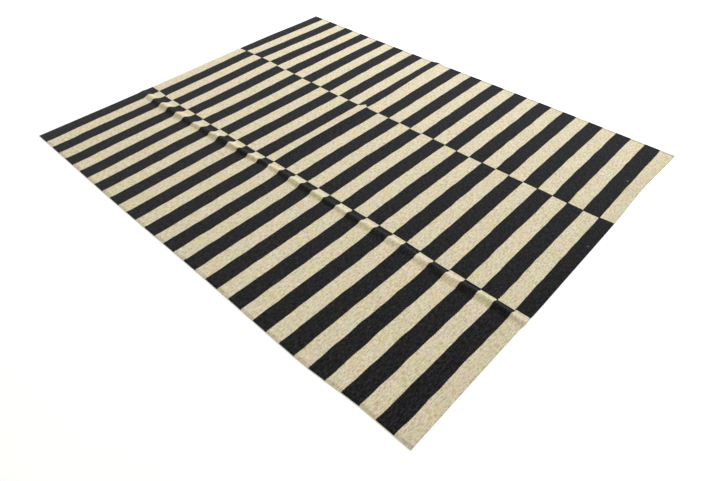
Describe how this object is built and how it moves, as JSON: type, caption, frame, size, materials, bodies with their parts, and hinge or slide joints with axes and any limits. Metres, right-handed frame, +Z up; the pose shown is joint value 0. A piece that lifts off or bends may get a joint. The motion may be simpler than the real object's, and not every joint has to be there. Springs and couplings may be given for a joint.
{
  "type": "kilim rug",
  "caption": "Flat-woven wool rug with columns of alternating black and cream bars, lying flat on a floor with a soft ripple from end to end.",
  "frame": {"origin": "on the floor, in the middle of the rug's outline", "axes": "+X along the rug's length, +Y across its width away from the selvedge that is nearer to the ripple, +Z up"},
  "size_m": [2.5346, 2.021, 0.02],
  "materials": {
    "barred_wool": "dry matte hand-spun wool in a tight weft-faced weave, heathered cream bars and charcoal black bars of equal width by turns"
  },
  "bodies": {
    "root": {"rug_cloth": "barred_wool"}
  },
  "joints": []
}
